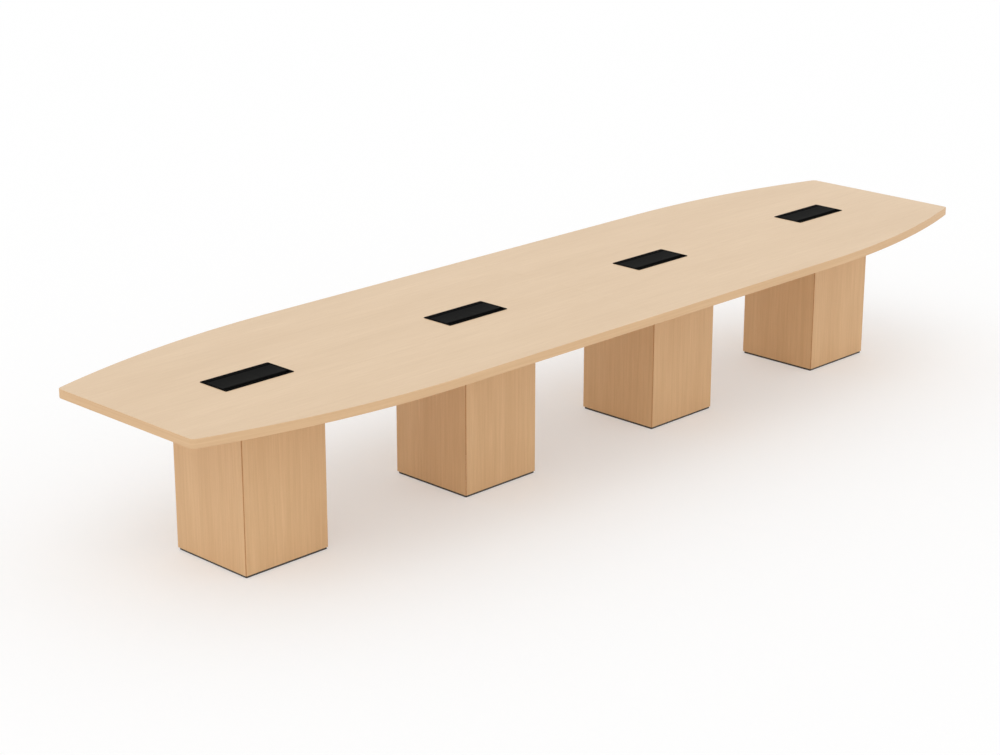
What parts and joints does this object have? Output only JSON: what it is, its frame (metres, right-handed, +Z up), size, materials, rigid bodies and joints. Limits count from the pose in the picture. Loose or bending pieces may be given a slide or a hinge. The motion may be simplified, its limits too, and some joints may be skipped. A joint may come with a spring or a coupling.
{
  "type": "conference table",
  "caption": "Long boat-shaped conference table in light wood-grain laminate, on square cube bases with rear doors, with flip-lid cable boxes let into the top.",
  "frame": {"origin": "on the floor, under the middle of the table", "axes": "+X along the table, +Y across it towards the side with the doors and lid hinges, +Z up"},
  "size_m": [4.8768, 1.2192, 0.7391],
  "materials": {
    "worktop_laminate": "light wood-grain laminate, satin",
    "edge_band": "wood-grain edge band, satin",
    "base_laminate": "upright wood-grain laminate, satin",
    "raw_board": "bare particle board",
    "plinth_board": "dark grey paint, matt",
    "black_plastic": "fine moulded texture",
    "lid_metal": "dark anodised, satin",
    "tub_metal": "black powder coat",
    "socket_plastic": "moulded, semi-gloss",
    "bare_steel": "zinc plated"
  },
  "bodies": {
    "table": {"top_half_left": "worktop_laminate", "top_half_right": "worktop_laminate", "edge_band_left": "edge_band", "edge_band_right": "edge_band", "seam_plate_near": "bare_steel", "seam_plate_middle": "bare_steel", "seam_plate_far": "bare_steel", "base1_front_panel": "base_laminate", "base1_left_panel": "base_laminate", "base1_right_panel": "base_laminate", "base1_door_hinge": "bare_steel", "base1_plinth": "plinth_board", "base1_mounting_plate": "raw_board", "base2_front_panel": "base_laminate", "base2_left_panel": "base_laminate", "base2_right_panel": "base_laminate", "base2_door_hinge": "bare_steel", "base2_plinth": "plinth_board", "base2_mounting_plate": "raw_board", "base3_front_panel": "base_laminate", "base3_left_panel": "base_laminate", "base3_right_panel": "base_laminate", "base3_door_hinge": "bare_steel", "base3_plinth": "plinth_board", "base3_mounting_plate": "raw_board", "base4_front_panel": "base_laminate", "base4_left_panel": "base_laminate", "base4_right_panel": "base_laminate", "base4_door_hinge": "bare_steel", "base4_plinth": "plinth_board", "base4_mounting_plate": "raw_board", "box1_bezel": "black_plastic", "box1_hinge_rod": "bare_steel", "box1_tub": "tub_metal", "box1_socket_block": "socket_plastic", "box1_gland": "black_plastic", "box2_bezel": "black_plastic", "box2_hinge_rod": "bare_steel", "box2_tub": "tub_metal", "box2_socket_block": "socket_plastic", "box2_gland": "black_plastic", "box3_bezel": "black_plastic", "box3_hinge_rod": "bare_steel", "box3_tub": "tub_metal", "box3_socket_block": "socket_plastic", "box3_gland": "black_plastic", "box4_bezel": "black_plastic", "box4_hinge_rod": "bare_steel", "box4_tub": "tub_metal", "box4_socket_block": "socket_plastic", "box4_gland": "black_plastic"},
    "lid_1": {"box1_lid": "lid_metal"},
    "lid_2": {"box2_lid": "lid_metal"},
    "lid_3": {"box3_lid": "lid_metal"},
    "lid_4": {"box4_lid": "lid_metal"},
    "door_1": {"base1_door": "base_laminate"},
    "door_2": {"base2_door": "base_laminate"},
    "door_3": {"base3_door": "base_laminate"},
    "door_4": {"base4_door": "base_laminate"}
  },
  "joints": [
    {"name": "lid_hinge_1", "type": "hinge", "parent": "table", "child": "lid_1", "pos_m": [-1.8288, 0.04855, 0.7341], "axis": [-1, 0, 0], "range_deg": [0, 100]},
    {"name": "lid_hinge_2", "type": "hinge", "parent": "table", "child": "lid_2", "pos_m": [-0.6096, 0.04855, 0.7341], "axis": [-1, 0, 0], "range_deg": [0, 100]},
    {"name": "lid_hinge_3", "type": "hinge", "parent": "table", "child": "lid_3", "pos_m": [0.6096, 0.04855, 0.7341], "axis": [-1, 0, 0], "range_deg": [0, 100]},
    {"name": "lid_hinge_4", "type": "hinge", "parent": "table", "child": "lid_4", "pos_m": [1.8288, 0.04855, 0.7341], "axis": [-1, 0, 0], "range_deg": [0, 100]},
    {"name": "door_hinge_1", "type": "hinge", "parent": "table", "child": "door_1", "pos_m": [-2.0247, 0.2159, 0.35425], "axis": [0, 0, 1], "range_deg": [0, 110]},
    {"name": "door_hinge_2", "type": "hinge", "parent": "table", "child": "door_2", "pos_m": [-0.8055, 0.2159, 0.35425], "axis": [0, 0, 1], "range_deg": [0, 110]},
    {"name": "door_hinge_3", "type": "hinge", "parent": "table", "child": "door_3", "pos_m": [0.4137, 0.2159, 0.35425], "axis": [0, 0, 1], "range_deg": [0, 110]},
    {"name": "door_hinge_4", "type": "hinge", "parent": "table", "child": "door_4", "pos_m": [1.6329, 0.2159, 0.35425], "axis": [0, 0, 1], "range_deg": [0, 110]}
  ]
}
